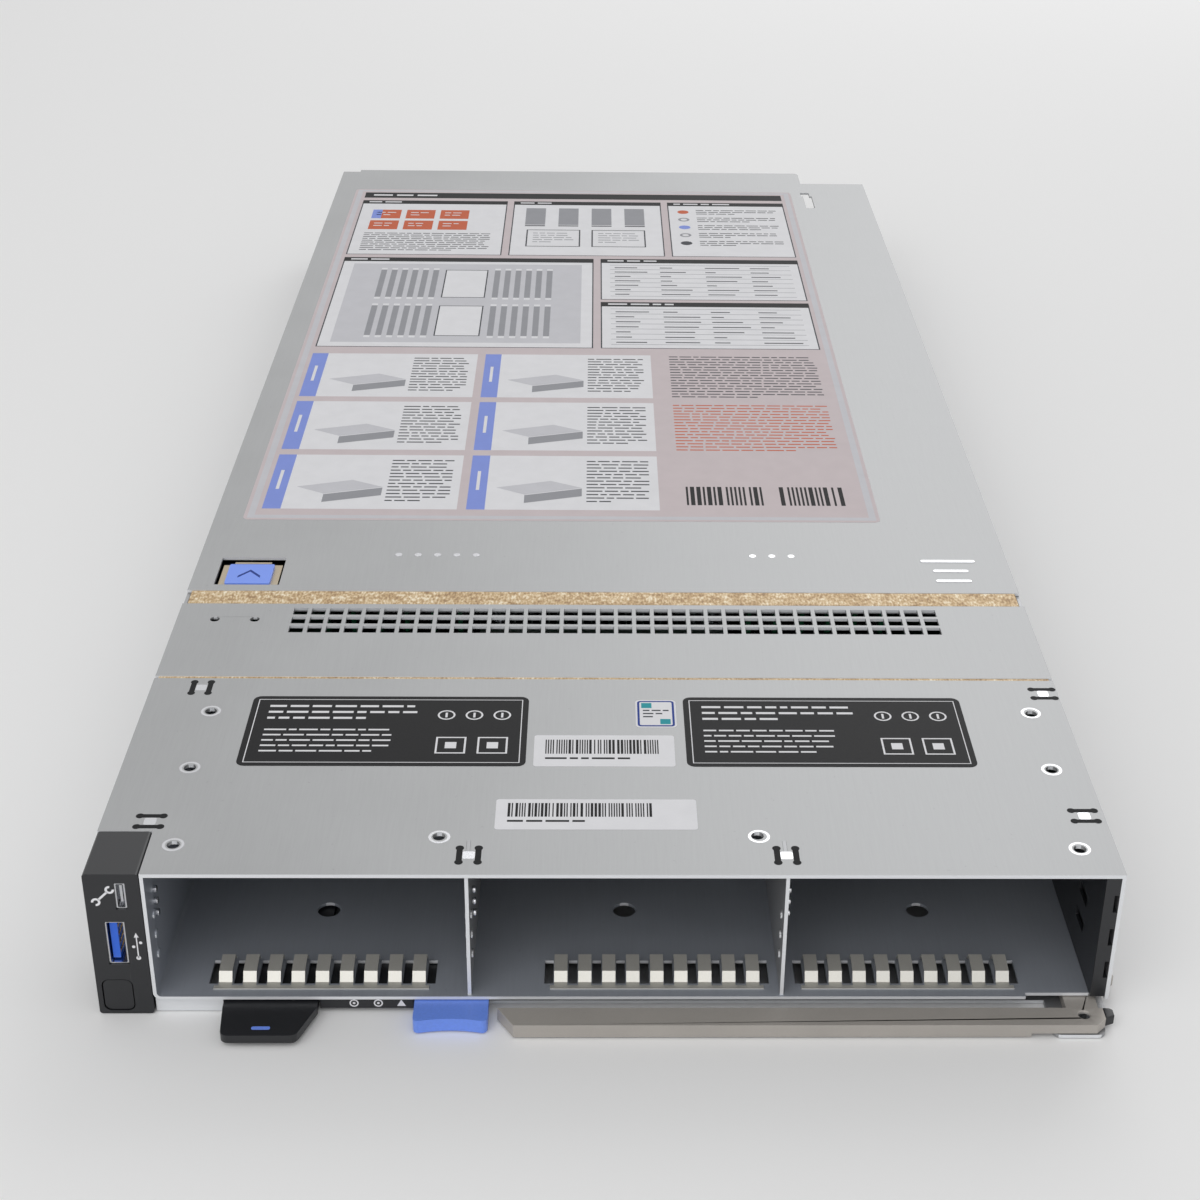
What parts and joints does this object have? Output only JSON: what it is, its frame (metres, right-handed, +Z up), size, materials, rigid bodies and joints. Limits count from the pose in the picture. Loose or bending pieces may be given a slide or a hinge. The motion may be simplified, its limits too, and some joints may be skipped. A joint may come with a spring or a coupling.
{
  "type": "blade server",
  "caption": "Single-width blade server sled: open drive bays and swing handle in front, sliding top cover with latch, rear cards with connectors.",
  "frame": {"origin": "middle of the tray's underside", "axes": "+Y from the drive bays to the rear connectors, +X to the right seen from the front, +Z up through the cover"},
  "size_m": [0.2536, 0.5981, 0.0421],
  "materials": {
    "galvanised_sheet": "galvanised sheet, fine even grain",
    "cage_sheet": "galvanised sheet, darker",
    "cover_sheet": "satin galvanised sheet",
    "black_sheet": "satin black paint",
    "black_plastic": "fine moulded texture",
    "blue_plastic": "satin moulded",
    "usb_blue": "gloss moulded",
    "zinc_casting": "satin cast zinc",
    "gasket_fabric": "woven conductive fabric over foam",
    "spring_steel": "bright spring strip",
    "bright_steel": "plated steel",
    "green_board": "solder mask",
    "dark_board": "dark solder mask",
    "gold_contact": "gold plated",
    "heatsink_metal": "finned aluminium",
    "connector_grey": "moulded",
    "nickel_block": "nickel plated",
    "ivory_shield": "pale moulded",
    "tan_tongue": "satin"
  },
  "bodies": {
    "chassis": {"base_tray": "galvanised_sheet", "drive_cage": "cage_sheet", "bay_top_plate": "cover_sheet", "bay_divider_left": "galvanised_sheet", "bay_divider_right": "galvanised_sheet", "right_cage_wall": "black_sheet", "grounding_springs": "spring_steel", "drive_backplane": "dark_board", "drive_connectors": "black_plastic", "vent_plate": "cover_sheet", "wide_gasket": "gasket_fabric", "seam_gasket": "gasket_fabric", "panel_housing": "black_plastic", "panel_board": "green_board", "usb_shell": "bright_steel", "usb_tongue": "usb_blue", "micro_usb_port": "bright_steel", "status_strip": "black_plastic", "handle_pivot_pin": "bright_steel", "system_board": "dark_board", "board_standoffs": "gold_contact", "board_screws": "bright_steel", "processor_sockets": "black_plastic", "processors": "bright_steel", "front_heatsink": "heatsink_metal", "rear_heatsink": "heatsink_metal", "heatsink_screws": "bright_steel", "memory_sockets": "black_plastic", "memory_modules": "green_board", "chipset_heatsink": "heatsink_metal", "battery_holder": "black_plastic", "coin_battery": "bright_steel", "storage_controller": "green_board", "management_card": "green_board", "mezzanine_sockets": "black_plastic", "mezzanine_card_left": "green_board", "mezzanine_card_right": "green_board", "rear_connectors_left": "connector_grey", "rear_connectors_right": "connector_grey", "guide_block_left": "nickel_block", "guide_block_right": "nickel_block", "card_shields_left": "ivory_shield", "card_shields_right": "ivory_shield", "power_connector": "black_plastic", "power_blades": "gold_contact", "internal_usb_port": "bright_steel"},
    "cover": {"top_cover": "cover_sheet"},
    "cover_latch": {"cover_latch_tongue": "tan_tongue", "cover_latch_pad": "blue_plastic"},
    "handle": {"release_handle": "zinc_casting", "handle_end_cap": "black_plastic"},
    "release_button": {"release_button": "blue_plastic"},
    "information_tag": {"information_tag": "black_plastic"},
    "power_button": {"power_button": "black_plastic"},
    "captive_screw_left": {"captive_screw_left": "blue_plastic"},
    "captive_screw_right": {"captive_screw_right": "blue_plastic"}
  },
  "joints": [
    {"name": "cover_slide", "type": "slide", "parent": "chassis", "child": "cover", "axis": [0, 1, 0], "range_m": [0, 0.6]},
    {"name": "cover_latch_press", "type": "hinge", "parent": "cover", "child": "cover_latch", "pos_m": [-0.1081, -0.14, 0.04025], "axis": [1, 0, 0], "range_deg": [-8, 0], "stiffness_Nm_per_rad": 0.3},
    {"name": "handle_swing", "type": "hinge", "parent": "chassis", "child": "handle", "pos_m": [0.118, -0.29144, 0.002], "axis": [0, 0, 1], "range_deg": [0, 60]},
    {"name": "release_press", "type": "slide", "parent": "chassis", "child": "release_button", "axis": [0, 1, 0], "range_m": [0, 0.003], "stiffness_N_per_m": 600},
    {"name": "tag_pull", "type": "slide", "parent": "chassis", "child": "information_tag", "axis": [0, -1, 0], "range_m": [0, 0.04]},
    {"name": "power_press", "type": "slide", "parent": "chassis", "child": "power_button", "axis": [0, 1, 0], "range_m": [0, 0.001], "stiffness_N_per_m": 400},
    {"name": "captive_screw_left_turn", "type": "hinge", "parent": "chassis", "child": "captive_screw_left", "pos_m": [-0.0941, 0.277, 0.03], "axis": [0, 0, 1], "continuous": true},
    {"name": "captive_screw_right_turn", "type": "hinge", "parent": "chassis", "child": "captive_screw_right", "pos_m": [0.0611, 0.277, 0.03], "axis": [0, 0, 1], "continuous": true}
  ]
}
